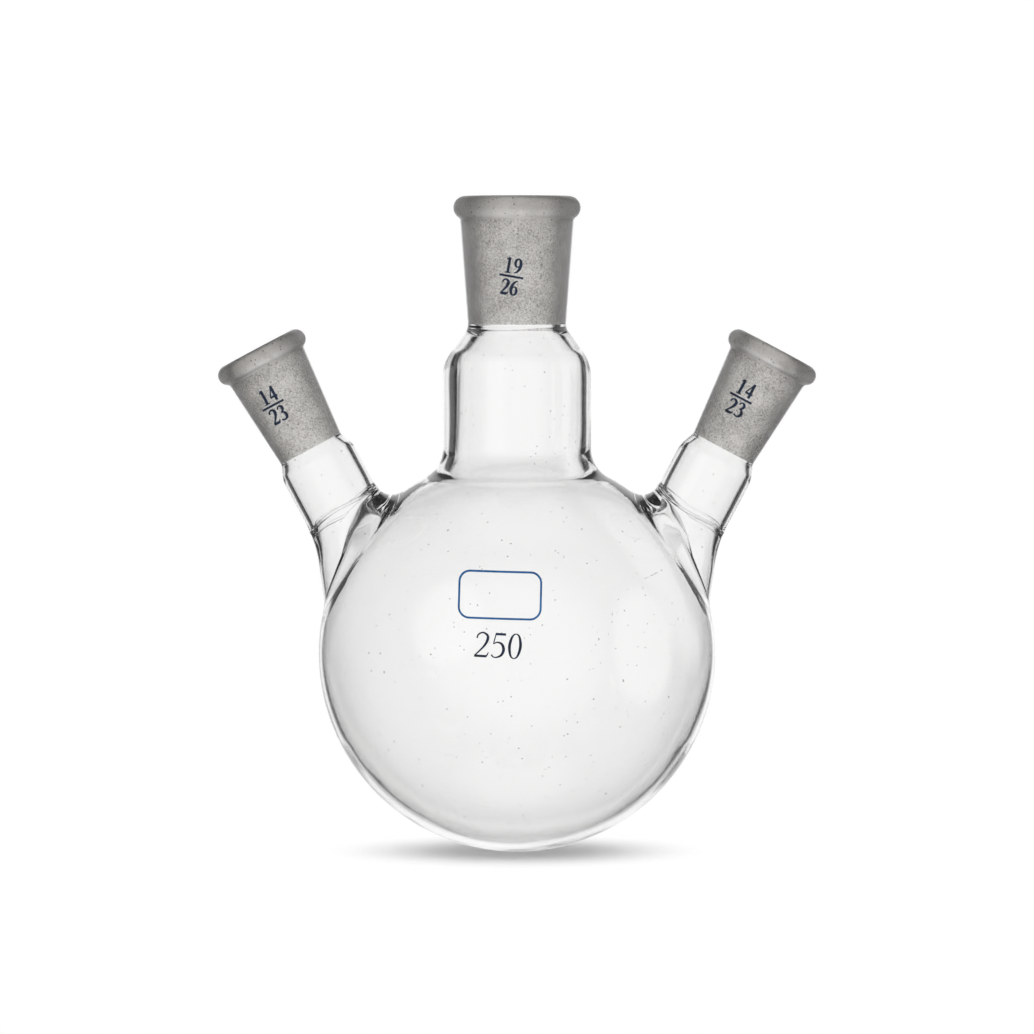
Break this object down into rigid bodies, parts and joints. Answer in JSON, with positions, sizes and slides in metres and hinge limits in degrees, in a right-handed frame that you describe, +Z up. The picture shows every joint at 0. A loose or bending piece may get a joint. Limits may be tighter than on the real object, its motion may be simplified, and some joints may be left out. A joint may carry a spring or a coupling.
{
  "type": "three neck round-bottom flask",
  "caption": "Round-bottom glass flask with a straight centre neck and two angled side necks, each ending in a ground conical socket.",
  "frame": {"origin": "lowest point of the bulb, on the centre neck's axis", "axes": "+Z up the centre neck, +X towards one side neck, both side necks in the XZ plane"},
  "size_m": [0.128, 0.085, 0.1404],
  "materials": {
    "clear_glass": "clear blown borosilicate glass, with the inside of each socket and its rim ground to a fine matt",
    "printed_enamel": "thin dark blue enamel numerals, fired on"
  },
  "bodies": {
    "root": {"flask": "clear_glass"}
  },
  "joints": []
}
